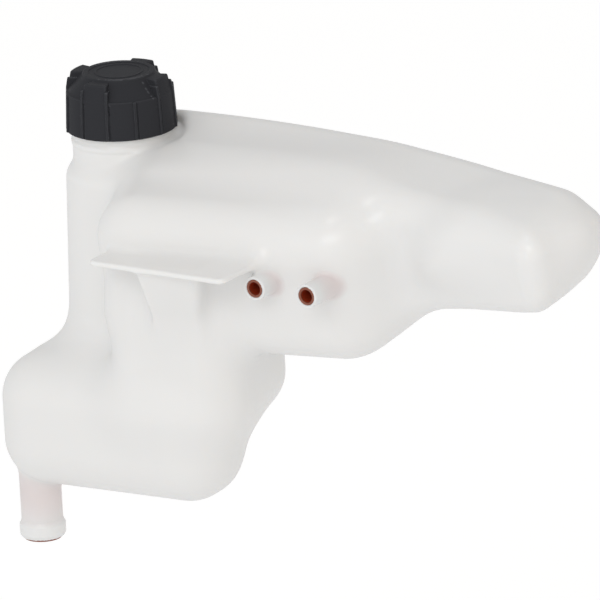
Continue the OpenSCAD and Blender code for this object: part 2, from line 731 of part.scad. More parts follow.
// Clip in the stem's groove, which the vacuum spring lifts
module vacuum_clip() color("silver") at_filler()
  ring(hub_r, vacuum_stem_r - gap, clip_low, clip_low + clip_t);

tank();
vent_sleeve(0);  // vent_sleeve_left
vent_sleeve(1);  // vent_sleeve_right
spigot_sleeve();
cap_shell();
rim_gasket();
valve_housing();
housing_cover();
housing_seal();
pressure_plate();
pressure_seal();
pressure_spring();
vacuum_valve();
vacuum_spring();
vacuum_clip();
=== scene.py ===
# %% [markdown]
# # Coolant expansion tank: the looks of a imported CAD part
# A milky bottle is blown from hot plastic, so its walls have no sharp corner and its chambers melt
# into each other. A black screw cap closes it. The script lays a finer surface over each outer piece
# of the fixed CAD frame, and keeps the CAD's own pieces for the valve inside the cap. Lengths in the
# functions are millimetres, measured from the filler axis at the height of the cap's lower edge: x
# runs along the tank to the nose, y to the back, z up. Only the last step of making a mesh turns them
# into metres in the part's own frame.

# %% Frame
import math

import bpy
import numpy as np
from mathutils import Matrix, Vector


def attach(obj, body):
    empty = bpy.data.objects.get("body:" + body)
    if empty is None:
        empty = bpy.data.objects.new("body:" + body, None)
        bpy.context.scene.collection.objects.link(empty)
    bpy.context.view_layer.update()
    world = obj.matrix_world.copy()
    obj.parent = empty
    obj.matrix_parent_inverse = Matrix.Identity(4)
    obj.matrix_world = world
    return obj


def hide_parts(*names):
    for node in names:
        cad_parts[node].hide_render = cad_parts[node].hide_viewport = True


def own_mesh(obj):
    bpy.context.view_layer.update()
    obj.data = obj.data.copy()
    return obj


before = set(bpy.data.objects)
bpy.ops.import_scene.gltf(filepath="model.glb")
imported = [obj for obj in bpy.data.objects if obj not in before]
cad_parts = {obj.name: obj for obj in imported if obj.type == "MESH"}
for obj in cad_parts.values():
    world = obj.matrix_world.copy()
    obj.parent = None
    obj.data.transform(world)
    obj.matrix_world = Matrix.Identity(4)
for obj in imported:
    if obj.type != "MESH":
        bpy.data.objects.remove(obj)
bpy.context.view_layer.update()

FILLER = np.array([-48.0, 75.0, 44.0])  # filler axis at the cap's lower edge, in the part's frame


# %% [markdown]
# ## Shapes as distance fields
# A blown bottle could be modelled by hand with subdivision surfaces, but its folds are hard to steer
# that way. Here each chamber is a field instead, which gives every point a number: negative inside the
# shape, zero on its surface, positive outside. Two shapes join by taking the smaller number at each
# point, and a soft minimum rounds the joint as hot plastic does.

# %% Soft joints
def soft_min(a, b, k):
    """Smaller of a and b, with the corner between them rounded over the width k."""
    h = np.clip(0.5 + (b - a) / (2 * k), 0, 1)
    return b + (a - b) * h - k * h * (1 - h)


def soft_max(a, b, k):
    """Larger of a and b, rounded in the same way: it cuts one shape by another."""
    return -soft_min(-a, -b, k)


def flat(*q):
    """Distance to the region where every one of q is negative, like the corner of a box."""
    q = np.stack(np.broadcast_arrays(*q), -1)
    return np.linalg.norm(np.maximum(q, 0), axis=-1) + np.minimum(q.max(-1), 0)


def depth(field, *at):
    """How far a point lies under a field's surface, which is minus the field there."""
    return round(float(-field(np.array([at], float))[0]), 1)


print("soft minimum of 1 and 1 over a width of 2:", soft_min(1.0, 1.0, 2))


# %% [markdown]
# ## Blocks and rods
# Two basic shapes are enough for the tank. A rounded block is a box whose half sizes are reduced by
# the edge radius, and the radius is then taken off the distance again. It can be turned, tilted and
# tapered by changing the point instead of the box. A rod is a box in two numbers, the distance from
# its axis and the place along it.

# %% Block and rod
def block(p, low, high, r, turn=0, tilt=0, taper=0, lift=0, rake=0):
    """Rounded block between two corners. turn swings it about z, tilt leans its top to the front,
    taper is the height lost per millimetre of x, lift the rise of its middle, and rake moves its top
    to the right per millimetre of height."""
    low, high = np.array(low, float), np.array(high, float)
    d, h = p - (low + high) / 2, (high - low) / 2
    a, b = math.radians(turn), math.radians(tilt)
    x = d[..., 0] * math.cos(a) + d[..., 1] * math.sin(a)
    y = d[..., 1] * math.cos(a) - d[..., 0] * math.sin(a)
    z = d[..., 2] - lift * x
    x = x - rake * d[..., 2]
    return flat(np.abs(x) - h[0] + r,
                np.abs(y * math.cos(b) + z * math.sin(b)) - h[1] + r,
                np.abs(z * math.cos(b) - y * math.sin(b)) - h[2] + taper * x + r) - r


def rod(p, at, axis, low, high, r, edge=0):
    """Round bar of radius r along an axis (0, 1 or 2) through the point at, its edges rounded."""
    across = [i for i in range(3) if i != axis]
    out = np.hypot(p[..., across[0]] - at[across[0]], p[..., across[1]] - at[across[1]])
    along = np.abs(p[..., axis] - (low + high) / 2) - (high - low) / 2
    return flat(out - r + edge, along + edge) - edge


print("centre of a 10 mm cube:", depth(lambda p: block(p, (0, 0, 0), (10, 10, 10), 2), 5, 5, 5), "deep")


# %% [markdown]
# ## Filler column
# The coolant is poured down a round column that stands on the leg. It widens a little towards its
# foot, so that the bottle leaves its mould. A rod with a radius that grows with the depth does this.

# %% Column
COLUMN_R, COLUMN_FOOT_R, COLUMN_TOP, COLUMN_FOOT, COLUMN_EDGE = 29, 33.5, -16, -146, 8


def column(p):
    """Round column: the radius grows evenly from the top to the foot."""
    middle, half = (COLUMN_TOP + COLUMN_FOOT) / 2, (COLUMN_TOP - COLUMN_FOOT) / 2
    t = np.clip((COLUMN_TOP - p[..., 2]) / (2 * half), 0, 1)
    r = COLUMN_R + (COLUMN_FOOT_R - COLUMN_R) * t
    out = np.hypot(p[..., 0], p[..., 1])
    return flat(out - r + COLUMN_EDGE, np.abs(p[..., 2] - middle) - half + COLUMN_EDGE) - COLUMN_EDGE


print("column axis:", depth(column, 0, 0, -60), "mm deep at z -60")


# %% [markdown]
# ## Chambers
# A low leg, an upright stem, a bulge at the front, a long back chamber and a nose make the body. Each
# is one rounded block. The back chamber's wall is bowed, which is done by sliding its points to the
# front with the square of their distance from the middle. The width of each soft joint decides how
# deep the fold between two chambers looks.

# %% Chamber blocks
LEG = {"low": (-50, -60, -178), "high": (77, -6, -110), "r": 24, "turn": 5, "taper": 0.004, "lift": -0.018}
STEM = {"low": (16, -60, -142), "high": (87, 24, -60), "r": 21, "turn": 10}
BULGE = {"low": (13, -52, -97), "high": (163, 16, -12), "r": 24, "turn": 12, "tilt": 15}
BACK = {"low": (-4, 0, -80), "high": (278.5, 55, -1.2), "r": 14, "tilt": 15, "taper": 0.12, "lift": 0.104}
NOSE = {"low": (202, -31, -43.5), "high": (284, 8, -12), "r": 16, "turn": 3, "tilt": 10, "lift": 0.03,
        "rake": 0.6}
BOW_MIDDLE, BOW_ROUND = 65, 900
LEG_FOLD, BULGE_FOLD, CHAMBER_FOLD, NOSE_FOLD = 24, 32, 12, 24
CREASE, CREASE_TOP, CREASE_DEEP = 12, -85, 45  # the stem's fold doubles its width from the top down
POCKET_R, POCKET_FLOOR, POCKET_FOLD = 29.6, -1.0, 6  # room round the neck for the cap


def chambers(p):
    """The blown chambers: column, leg and stem below, back and bulge above, and the nose."""
    bowed = p.copy()
    bowed[..., 1] += (p[..., 0] - BOW_MIDDLE) ** 2 / BOW_ROUND
    crease = CREASE + CREASE * np.clip((CREASE_TOP - p[..., 2]) / CREASE_DEEP, 0, 1)
    low = soft_min(soft_min(column(p), block(p, **LEG), LEG_FOLD), block(p, **STEM), crease)
    high = soft_min(block(bowed, **BACK), block(p, **BULGE), BULGE_FOLD)
    whole = soft_min(soft_min(low, high, CHAMBER_FOLD), block(p, **NOSE), NOSE_FOLD)
    pocket = flat(np.hypot(p[..., 0], p[..., 1]) - POCKET_R, POCKET_FLOOR - p[..., 2])
    return soft_max(whole, -pocket, POCKET_FOLD)


print("middle of the upper chamber:", depth(chambers, 90, 10, -45), "mm deep")


# %% [markdown]
# ## Neck
# The cap screws onto a neck with a thread, above a thin ring. A thread is a ridge whose place goes
# round as the height grows, so a cosine of the height and the angle together draws it. It fades out at
# both ends, as on a real bottle.

# %% Neck
NECK_R, NECK_BORE, RIM, NECK_EDGE, NECK_DOWN = 25.2, 20, 15.5, 0.6, -32
NECK_RING_Z, NECK_RING_OUT, NECK_RING_HALF, NECK_RING_RAMP = -5, 0.5, 2.0, 1.25
PITCH, THREAD_HALF, THREAD_FLANK, THREAD_FOOT, THREAD_FADE = 4, 0.45, 1.6, 0.5, 1.5


def neck(p):
    """Filler neck: its radius is the ring's and the thread's height at each point."""
    out, z = np.hypot(p[..., 0], p[..., 1]), p[..., 2]
    ring = NECK_RING_OUT * np.clip((NECK_RING_HALF - np.abs(z - NECK_RING_Z)) / NECK_RING_RAMP, 0, 1)
    turn = z / PITCH - np.arctan2(p[..., 1], p[..., 0]) / (2 * np.pi)
    ridge = np.clip(np.cos(2 * np.pi * turn) * THREAD_FLANK, -1, 1) * THREAD_HALF - THREAD_HALF
    fade = (np.clip((z - THREAD_FOOT) / THREAD_FADE, 0, 1)
            * np.clip((RIM - THREAD_FADE - z) / THREAD_FADE, 0, 1))
    return flat(out - NECK_R - ring - ridge * fade + NECK_EDGE, z - RIM + NECK_EDGE,
                NECK_DOWN - z) - NECK_EDGE


print("neck thread:", round((RIM - 2 * THREAD_FADE) / PITCH, 1), "turns")


# %% [markdown]
# ## Ledge and web
# The tank rests on a thin ledge at its front, and a web under the ledge carries it. The ledge is a
# flat plate with two rounded free corners. The web is a wedge: its face runs from the ledge's edge
# back into the front wall, and its right side leans in towards its foot.

# %% Ledge and web
LEDGE = ((35, -86, -44), (116, -30, -41.2))
LEDGE_CORNER, PLATE_EDGE = 4, 1.2
WEB_AT, WEB_W, WEB_DEEP, WEB_RUN, WEB_TURN, WEB_LEAN = (62.5, -84), 34, 44, 28, 12, 17
WEB_EDGE, WEB_CURVE, WEB_SLOPE, WEB_BACK, WEB_TOP, WEB_ROOT = 5, 1.1, 0.83, 44, 0.5, 8


def ledge(p):
    """Thin plate: its outline and its thickness are two distances, joined as a box's are."""
    (x0, y0, z0), (x1, y1, z1) = LEDGE
    plan = flat(np.abs(p[..., 0] - (x0 + x1) / 2) - (x1 - x0) / 2 + LEDGE_CORNER,
                y0 + LEDGE_CORNER - p[..., 1], p[..., 1] - y1) - LEDGE_CORNER
    thick = np.abs(p[..., 2] - (z0 + z1) / 2) - (z1 - z0) / 2
    return flat(plan + PLATE_EDGE, thick + PLATE_EDGE) - PLATE_EDGE


def web(p):
    """Wedge: its face recedes as a power of the depth, and its right side with the lean's tangent."""
    over = p[..., 2] - LEDGE[0][2]  # counted twice below, so that the web hardly swells the ledge's top
    down = WEB_TOP - over
    a, x, y = math.radians(WEB_TURN), p[..., 0] - WEB_AT[0], p[..., 1] - WEB_AT[1]
    across, deep = x * math.cos(a) + y * math.sin(a), y * math.cos(a) - x * math.sin(a)
    face = WEB_RUN * np.maximum(down / WEB_DEEP, 0) ** WEB_CURVE - deep
    right = across - WEB_W + np.maximum(down, 0) * math.tan(math.radians(WEB_LEAN))
    front = soft_max(face * WEB_SLOPE, right, WEB_EDGE)
    return flat(PLATE_EDGE - across, front + PLATE_EDGE, deep - WEB_BACK, over, over,
                down - WEB_DEEP - WEB_ROOT) - PLATE_EDGE


print("ledge:", LEDGE[1][0] - LEDGE[0][0], "mm wide and", round(LEDGE[1][2] - LEDGE[0][2], 1), "thick")


# %% [markdown]
# ## Spigot and nipples
# A coolant hose is pushed over a bead on the spigot under the leg, and two thin vent hoses over the
# nipples on the front wall. All three are rods, and their bores are rods that are cut out again.

# %% Hose connections
SPIGOT, SPIGOT_END, SPIGOT_TOP, SPIGOT_R, SPIGOT_BORE = (-36, -38), -208, -150, 10.5, 8.5
BEAD_R, BEAD_LEN, TUBE_EDGE = 11.6, 9, 0.5
NIPPLE_X, NIPPLE_Y, NIPPLE_Z, NIPPLE_R, NIPPLE_ROOT, SLEEVE_R = (118, 149), -61, -52.5, 6.1, -30, 4.6
NIPPLE_MOUTH, SPIGOT_MOUTH, NECK_MOUTH, CLEAR = 24, 36, -30, 9  # how deep each bore is cut, and past its end


def spigot(p):
    """Rod with a radius that swells near its free end, in a ramp up and a ramp down."""
    z = p[..., 2] - SPIGOT_END
    bead = (BEAD_R - SPIGOT_R) * np.clip(np.minimum(z, BEAD_LEN - z) / 2, 0, 1)
    out = np.hypot(p[..., 0] - SPIGOT[0], p[..., 1] - SPIGOT[1])
    return flat(out - SPIGOT_R - bead + TUBE_EDGE, TUBE_EDGE - z, p[..., 2] - SPIGOT_TOP) - TUBE_EDGE


def bores(p):
    """Mouths of the nipples, the spigot and the neck, which the bottle's field is cut by."""
    mouths = [rod(p, (x, 0, NIPPLE_Z), 1, NIPPLE_Y - CLEAR, NIPPLE_Y + NIPPLE_MOUTH, SLEEVE_R)
              for x in NIPPLE_X]
    mouths.append(rod(p, (*SPIGOT, 0), 2, SPIGOT_END - CLEAR, SPIGOT_END + SPIGOT_MOUTH, SPIGOT_BORE))
    mouths.append(rod(p, (0, 0, 0), 2, NECK_MOUTH, RIM + CLEAR, NECK_BORE))
    return np.minimum.reduce(mouths)


print("bead: stands out by", round(BEAD_R - SPIGOT_R, 1), "mm over", BEAD_LEN, "mm")


# %% [markdown]
# ## The whole bottle
# The chambers take the fittings one after the other, each with its own soft joint: wide where the
# plastic was blown into a corner, narrow where a nipple stands on a wall.

# %% Bottle
WEB_FOLD, NIPPLE_FOLD, NECK_FOLD, SPIGOT_FOLD = 8, 3, 4, 6
LEDGE_FOLD, LEDGE_MELT, MELT_FROM, MELT_RUN = 4, 8, 92, 20  # its right end melts into the wall


def bottle(p):
    """Everything that is moulded in one piece: soft minimum of the parts, cut by the bores."""
    f = soft_min(chambers(p), web(p), WEB_FOLD)
    melt = np.clip((p[..., 0] - MELT_FROM) / MELT_RUN, 0, 1)
    f = soft_min(f, ledge(p), LEDGE_FOLD + LEDGE_MELT * melt)
    for x in NIPPLE_X:
        nipple = rod(p, (x, 0, NIPPLE_Z), 1, NIPPLE_Y, NIPPLE_ROOT, NIPPLE_R, TUBE_EDGE)
        f = soft_min(f, nipple, NIPPLE_FOLD)
    f = soft_min(soft_min(f, neck(p), NECK_FOLD), spigot(p), SPIGOT_FOLD)
    return np.maximum(f, -bores(p))


print("web's middle:", depth(bottle, 80, -66, -60), "mm deep")


# %% [markdown]
# ## From field to mesh
# The field is read on a grid of points whose lines lie closer together where the details are. Each
# grid cell that the surface crosses gets one vertex at the mean of its edge crossings, and each grid
# edge that the surface crosses joins the four cells round it into one face. The vertices then
# move along the field's slope until the field is zero, so that they lie on the true surface.

# %% Grid
def lines(*spans):
    """Grid positions from spans of (start, step), each up to the next start; the last is the end."""
    out = []
    for (start, step), (end, _) in zip(spans[:-1], spans[1:]):
        n = max(1, round((end - start) / step))
        out.append(start + (end - start) * np.arange(n) / n)
    return np.concatenate(out + [[spans[-1][0]]])


def read_field(field, xs, ys, zs, slab=8):
    """Field at every grid point, worked out a few x planes at a time to save memory."""
    grid = np.empty((len(xs), len(ys), len(zs)), np.float32)
    yz = np.stack(np.meshgrid(ys, zs, indexing="ij"), -1)
    for i in range(0, len(xs), slab):
        part = xs[i:i + slab]
        p = np.empty((len(part), len(ys), len(zs), 3))
        p[..., 0], p[..., 1:] = part[:, None, None], yz
        grid[i:i + slab] = field(p)
    return grid


def slope(field, p, e=0.05):
    """Gradient of the field by differences, for an array of points."""
    return np.stack([(field(p + s) - field(p - s)) / (2 * e) for s in np.eye(3) * e], -1)


print("grid lines from 0 to 10 in steps of 2:", lines((0, 2), (10, 0)))


# %% Net of faces
def crossings(grid, inside, index, axes, a):
    """Crossed grid edges along axis a: the cells round each, as a face, and where it is crossed."""
    b, c = (a + 1) % 3, (a + 2) % 3
    g, s, cell = (np.moveaxis(x, (a, b, c), (0, 1, 2)) for x in (grid, inside, index))
    i, j, k = np.nonzero(s[:-1, 1:-1, 1:-1] != s[1:, 1:-1, 1:-1])
    j, k = j + 1, k + 1
    u, v = g[i, j, k], g[i + 1, j, k]
    at = np.empty((len(i), 3))
    at[:, a] = axes[a][i] + (axes[a][i + 1] - axes[a][i]) * u / (u - v)
    at[:, b], at[:, c] = axes[b][j], axes[c][k]
    quad = np.stack([cell[i, j - 1, k - 1], cell[i, j, k - 1], cell[i, j, k], cell[i, j - 1, k]], 1)
    return quad, at, s[i, j, k]


def nets(field, xs, ys, zs, steps=4):
    """Points, faces and outward normals of the field's zero surface on a grid."""
    axes, grid = (xs, ys, zs), read_field(field, xs, ys, zs)
    inside = grid < 0
    count = sum(inside[a:a - 1 or None, b:b - 1 or None, c:c - 1 or None].astype(np.int8)
                for a in (0, 1) for b in (0, 1) for c in (0, 1))
    crossed = (count > 0) & (count < 8)
    index = np.full(crossed.shape, -1)
    index[crossed] = np.arange(crossed.sum())
    total, hits, faces = np.zeros((crossed.sum(), 3)), np.zeros(crossed.sum()), []
    for a in range(3):
        quad, at, out = crossings(grid, inside, index, axes, a)
        for q in quad.T:
            np.add.at(total, q, at)
            np.add.at(hits, q, 1)
        quad[~out] = quad[~out][:, ::-1]
        faces.append(quad)
    points = total / np.maximum(hits, 1)[:, None]
    cell_size = np.array([np.diff(x).max() for x in axes])
    for _ in range(steps):
        g = slope(field, points)
        move = field(points)[:, None] * g / np.maximum((g * g).sum(-1, keepdims=True), 0.2)
        points -= np.clip(move, -cell_size / 2, cell_size / 2)
    normal = slope(field, points)
    normal /= np.maximum(np.linalg.norm(normal, axis=1, keepdims=True), 1e-9)
    return points, np.concatenate(faces), normal


ball = lines((-3, 0.5), (3, 0))
points, faces, normals = nets(lambda p: rod(p, (0, 0, 0), 2, -2, 2, 2, 1), ball, ball, ball)
print("a 4 mm pin as a net:", len(points), "points and", len(faces), "faces")


# %% [markdown]
# ## Turned shapes
# A tube or a ring needs no field. Its section is a closed profile that is carried round the axis, so
# the seam and both ends are closed without any more work.

# %% Turned shapes
def turned(profile, around=96):
    """Points and faces of a closed [radius, height] profile carried round z: radius times the cosine
    and sine of the angle, with the height unchanged."""
    profile = np.array(profile, float)
    n = len(profile)
    a = 2 * np.pi * np.arange(around) / around
    points = np.empty((around, n, 3))
    points[..., 0] = profile[:, 0] * np.cos(a)[:, None]
    points[..., 1] = profile[:, 0] * np.sin(a)[:, None]
    points[..., 2] = profile[:, 1]
    i, j = np.meshgrid(np.arange(around), np.arange(n), indexing="ij")
    i2, j2 = (i + 1) % around, (j + 1) % n
    faces = np.stack([i * n + j, i2 * n + j, i2 * n + j2, i * n + j2], -1).reshape(-1, 4)
    return points.reshape(-1, 3), faces


print("a square ring in 8 steps:", len(turned([(1, 0), (2, 0), (2, 1), (1, 1)], 8)[1]), "faces")


# %% [markdown]
# ## Pieces
# A piece is one mesh object at the origin, with its place in its mesh. It rides on a body of the
# frame, takes a material, and hides the CAD node that it stands for.

# %% Piece
def piece(name, points, faces, material, body, node_name, normals=None):
    """Mesh piece in metres, from points in millimetres round the filler axis."""
    mesh = bpy.data.meshes.new(name)
    mesh.from_pydata(((points + FILLER) / 1000).tolist(), [], faces.tolist())
    mesh.validate()
    if normals is not None:
        mesh.normals_split_custom_set_from_vertices(normals.tolist())
    else:
        mesh.shade_smooth()
        mesh.set_sharp_from_angle(angle=math.radians(35))
    mesh.materials.append(material)
    obj = bpy.data.objects.new(name, mesh)
    bpy.context.collection.objects.link(obj)
    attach(obj, body)
    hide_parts(node_name)
    print(name, "has", len(points), "points and", len(faces), "faces")
    return obj


# %% [markdown]
# ## Material helpers
# Every finish is a node material worked out from position alone. Most of them need the same two
# things: a shader with a few sockets set, and a fine grain that breaks up the reflections.

# %% Material helpers
def material(name, **sockets):
    """New node material with the given Principled sockets set, spaces written as underscores."""
    m = bpy.data.materials.new(name)
    m.use_nodes = True
    shader = m.node_tree.nodes["Principled BSDF"]
    for key, value in sockets.items():
        shader.inputs[key.replace("_", " ")].default_value = value
    return m, m.node_tree, shader


def node(tree, kind, **values):
    """New node whose inputs or settings take the given values."""
    n = tree.nodes.new(kind)
    for key, value in values.items():
        if key in n.inputs:
            n.inputs[key].default_value = value
        else:
            setattr(n, key, value)
    return n


def two_tone(tree, amount, shader, low, high, start=0.0, end=1.0):
    """Base colour that goes from low to high as amount, a node's output, goes from start to end."""
    ramp = node(tree, "ShaderNodeValToRGB")
    for stop, place, colour in zip(ramp.color_ramp.elements, (start, end), (low, high)):
        stop.position, stop.color = place, (*colour, 1)
    tree.links.new(amount, ramp.inputs["Fac"])
    tree.links.new(ramp.outputs["Color"], shader.inputs["Base Color"])


def grain(tree, shader, scale, height):
    """Fine surface grain: noise in object space drives a bump of the given height in metres."""
    where = node(tree, "ShaderNodeTexCoord")
    noise = node(tree, "ShaderNodeTexNoise", Scale=scale, Detail=3.0)
    bump = node(tree, "ShaderNodeBump", Strength=1.0, Distance=height)
    tree.links.new(where.outputs["Object"], noise.inputs["Vector"])
    tree.links.new(noise.outputs["Fac"], bump.inputs["Height"])
    tree.links.new(bump.outputs["Normal"], shader.inputs["Normal"])
    return where.outputs["Object"]


# %% [markdown]
# ## Milky plastic
# The bottle's plastic is neither clear nor opaque: light enters it, spreads and leaves again, so it
# gets subsurface scattering, and a thin coat for its soft highlights. Beside the copper sleeves it lets
# some of the metal's colour through. That tint is a distance from each sleeve's middle, measured in
# sizes of an egg round it; the smallest of the three distances decides the colour.

# %% Milky plastic
MILKY, OVER_COPPER = (0.81, 0.808, 0.80), (0.75, 0.60, 0.585)
TINTS = (((NIPPLE_X[0], NIPPLE_Y + 16, NIPPLE_Z), (9, 17, 9)),
         ((NIPPLE_X[1], NIPPLE_Y + 18, NIPPLE_Z), (9, 19, 9)),
         ((*SPIGOT, SPIGOT_END + 24), (15, 15, 27)))

plastic, tree, shader = material("milky_plastic", Roughness=0.42, IOR=1.5, Subsurface_Weight=0.35,
                                 Subsurface_Scale=0.006, Specular_IOR_Level=0.35, Coat_Weight=0.35,
                                 Coat_Roughness=0.2)
shader.inputs["Subsurface Radius"].default_value = (1.0, 0.9, 0.8)
place = grain(tree, shader, 60, 0.0001)


def egg_distance(tree, place, at, size):
    """Length of (place - at) / size: 0 in the egg's middle and 1 on its skin."""
    offset = node(tree, "ShaderNodeVectorMath", operation="SUBTRACT")
    offset.inputs[1].default_value = [v / 1000 for v in FILLER + at]
    scaled = node(tree, "ShaderNodeVectorMath", operation="DIVIDE")
    scaled.inputs[1].default_value = [v / 1000 for v in size]
    reach = node(tree, "ShaderNodeVectorMath", operation="LENGTH")
    tree.links.new(place, offset.inputs[0])
    tree.links.new(offset.outputs[0], scaled.inputs[0])
    tree.links.new(scaled.outputs[0], reach.inputs[0])
    return reach.outputs["Value"]


nearest = egg_distance(tree, place, *TINTS[0])
for at, size in TINTS[1:]:
    least = node(tree, "ShaderNodeMath", operation="MINIMUM")
    tree.links.new(nearest, least.inputs[0])
    tree.links.new(egg_distance(tree, place, at, size), least.inputs[1])
    nearest = least.outputs[0]
two_tone(tree, nearest, shader, OVER_COPPER, MILKY, 0.4, 1.0)
print("milky plastic:", len(tree.nodes), "nodes")

# %% [markdown]
# ## Black plastic
# The cap is black with a fine grain. Its raised edges are painted lighter, partly as rubbing from
# handling and partly as a painted highlight. Pointiness tells how sharply the surface bends outwards,
# so it finds those edges by itself.

# %% Black plastic
BLACK, EDGE_WEAR_AND_HIGHLIGHT = (0.032, 0.033, 0.0375), (0.07, 0.072, 0.08)

black, tree, shader = material("black_plastic", Roughness=0.5, Specular_IOR_Level=0.04)
grain(tree, shader, 1400, 0.00008)
# Raised edges painted lighter: partly worn by handling, partly a painted highlight.
wear_and_highlight = node(tree, "ShaderNodeNewGeometry")
two_tone(tree, wear_and_highlight.outputs["Pointiness"], shader, BLACK, EDGE_WEAR_AND_HIGHLIGHT, 0.51, 0.62)
print("black plastic:", len(tree.nodes), "nodes")

# %% [markdown]
# ## Copper
# The sleeves' end rings are dull brown, and the bores behind them redder, because light bounces
# between their walls. The change of colour lies just behind the nipples' ends, so it goes by y. The
# spigot's sleeve shows only its ring, so it gets the ring's colour throughout.

# %% Copper
RING_BROWN, BORE_RED, RING_DEEP = (0.27, 0.10, 0.065), (0.6, 0.09, 0.03), 1.5
NIPPLE_END = (FILLER[1] + NIPPLE_Y) / 1000

copper, tree, shader = material("copper", Metallic=0.55, Roughness=0.34)
parts = node(tree, "ShaderNodeSeparateXYZ")
depth_in = node(tree, "ShaderNodeMapRange")
depth_in.inputs["From Min"].default_value = NIPPLE_END + 0.0003
depth_in.inputs["From Max"].default_value = NIPPLE_END + RING_DEEP / 1000
tree.links.new(grain(tree, shader, 900, 0.00003), parts.inputs[0])
tree.links.new(parts.outputs["Y"], depth_in.inputs["Value"])
two_tone(tree, depth_in.outputs[0], shader, RING_BROWN, BORE_RED)

rim, tree, shader = material("spigot_copper", Metallic=0.55, Roughness=0.34)
shader.inputs["Base Color"].default_value = (*RING_BROWN, 1)
grain(tree, shader, 900, 0.00003)
print("copper: ring colour up to", RING_DEEP, "mm behind the end")

# %% [markdown]
# ## Finishes of the valve
# The valve in the cap shows only when the part is opened up, so its CAD solids stay and get plain
# finishes: rubber, brass, spring wire and a dark plastic, each with a grain of its own.

# %% Valve finishes
def valve_finish(name, colour, grain_scale, grain_height, **sockets):
    """One even colour with a fine grain over it."""
    finish, tree, shader = material(name, **sockets)
    shader.inputs["Base Color"].default_value = (*colour, 1)
    grain(tree, shader, grain_scale, grain_height)
    return finish


rubber = valve_finish("rubber", (0.02, 0.02, 0.02), 1500, 0.00003, Roughness=0.7)
brass = valve_finish("brass", (0.72, 0.53, 0.25), 1200, 0.00002, Metallic=1.0, Roughness=0.3)
steel = valve_finish("spring_wire", (0.55, 0.56, 0.58), 1200, 0.00002, Metallic=1.0, Roughness=0.3)
dark = valve_finish("insert_plastic", (0.06, 0.06, 0.065), 1500, 0.00003, Roughness=0.45)
FINISH = {"valve_housing": dark, "housing_cover": dark, "housing_seal": rubber, "rim_gasket": rubber,
          "pressure_plate": brass, "pressure_seal": rubber, "pressure_spring": steel,
          "vacuum_valve": brass, "vacuum_spring": steel, "vacuum_clip": brass}
for name, finish in FINISH.items():
    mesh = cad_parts[name].data
    mesh.materials.clear()
    mesh.materials.append(finish)
print("valve pieces with a finish:", len(FINISH))

# %% [markdown]
# ## Springs
# When a valve opens, its spring is pressed together. The wire could be bent turn by turn, or, as a
# spring shortens evenly, its height could be scaled by its joint's travel; here each spring only
# gets a mesh of its own.

# %% Springs
for name, joint, top_stays in (("pressure_spring", "pressure_relief", True),
                               ("vacuum_spring", "vacuum_relief", False)):
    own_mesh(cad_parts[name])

# %% [markdown]
# ## Bottle piece
# The grid is finest where the small forms are: 0.55 mm through the ledge, 0.75 mm across the
# nipples, 0.6 mm up the neck's thread, and about 2 mm on the smooth walls, where the normals of the
# field carry the shading.

# %% Bottle piece
xs = lines((-54, 2.0), (-49, 0.9), (-23, 2.0), (30, 1.3), (110, 0.75), (157, 2.2), (292, 0))
ys = lines((-90, 0.9), (-58, 1.6), (-51, 0.9), (-25, 2.2), (68, 0))
zs = lines((-211, 1.0), (-198, 2.2), (-96, 1.6), (-60, 0.8), (-46.5, 0.55), (-39.5, 1.4), (-10, 0.6),
           (17, 0))
points, faces, normals = nets(bottle, xs, ys, zs)
piece("tank_shell", points, faces, plastic, "bottle", "tank", normals)

# %% [markdown]
# ## Copper sleeves
# Each sleeve is a short tube, so its section is turned round an axis: a closed profile with its end's
# edges broken. The nipples' tubes are laid along y, and the spigot's has a lip that shows as a thin
# line under the plastic.

# %% Copper sleeves
SLEEVE_BORE, SLEEVE_LEN, SLEEVE_GAP, BROKEN = 3.3, 22, 0.02, 0.3
LIP_R, LIP_DOWN, TUBE_WALL, TUBE_LEN = 9.5, 0.8, 1.3, 30

ring = [(SLEEVE_BORE, BROKEN), (SLEEVE_BORE + BROKEN, 0), (SLEEVE_R - BROKEN, 0),
        (SLEEVE_R - SLEEVE_GAP, BROKEN), (SLEEVE_R - SLEEVE_GAP, SLEEVE_LEN), (SLEEVE_BORE, SLEEVE_LEN)]
points, faces = turned(ring)
laid = np.stack([points[:, 0], points[:, 2], -points[:, 1]], 1)
for x, side in zip(NIPPLE_X, ("left", "right")):
    piece(f"vent_sleeve_{side}_tube", laid + (x, NIPPLE_Y, NIPPLE_Z), faces, copper, "bottle",
          f"vent_sleeve_{side}")

bore = SPIGOT_BORE - TUBE_WALL
lip = [(bore, 0.2 - LIP_DOWN), (bore + BROKEN, -LIP_DOWN), (LIP_R - 0.2, -LIP_DOWN),
       (LIP_R, 0.2 - LIP_DOWN), (LIP_R, 0), (SPIGOT_BORE - SLEEVE_GAP, 0),
       (SPIGOT_BORE - SLEEVE_GAP, TUBE_LEN), (bore, TUBE_LEN)]
points, faces = turned(lip)
piece("spigot_sleeve_tube", points + (*SPIGOT, SPIGOT_END), faces, rim, "bottle", "spigot_sleeve")

# %% [markdown]
# ## Cap body
# The cap is a field too. A skirt that tapers a little carries a sloping face, and on it stands a flat
# disc with a shallow dish and one plain raised ring.

# %% Cap body
CAP_R, CAP_TOP_R, SKIRT, SKIRT_FOOT, CAP_H = 28, 27, 20.5, 0.5, 29.6
FACE_IN, FACE_DOWN = 1.1, 1.2  # where the sloping face starts inside the skirt and ends under the top
CONE_CUT, CONE_FOOT = CAP_H - 1, SKIRT - 3
DISC_R, DISC_EDGE, DISC_FOOT, DISH_IN, DISH_FLOOR = 18.4, 0.8, CAP_H - 12, 3.2, CAP_H - 0.45
RAISED_IN, RAISED_HALF, RAISED_TOP, RAISED_FOOT = 6.6, 0.5, CAP_H - 0.1, CAP_H - 3
SKIRT_FOLD, CONE_FOLD, DISC_FOLD, DISH_FOLD, RAISED_FOLD = 0.8, 0.3, 1.0, 0.7, 0.4


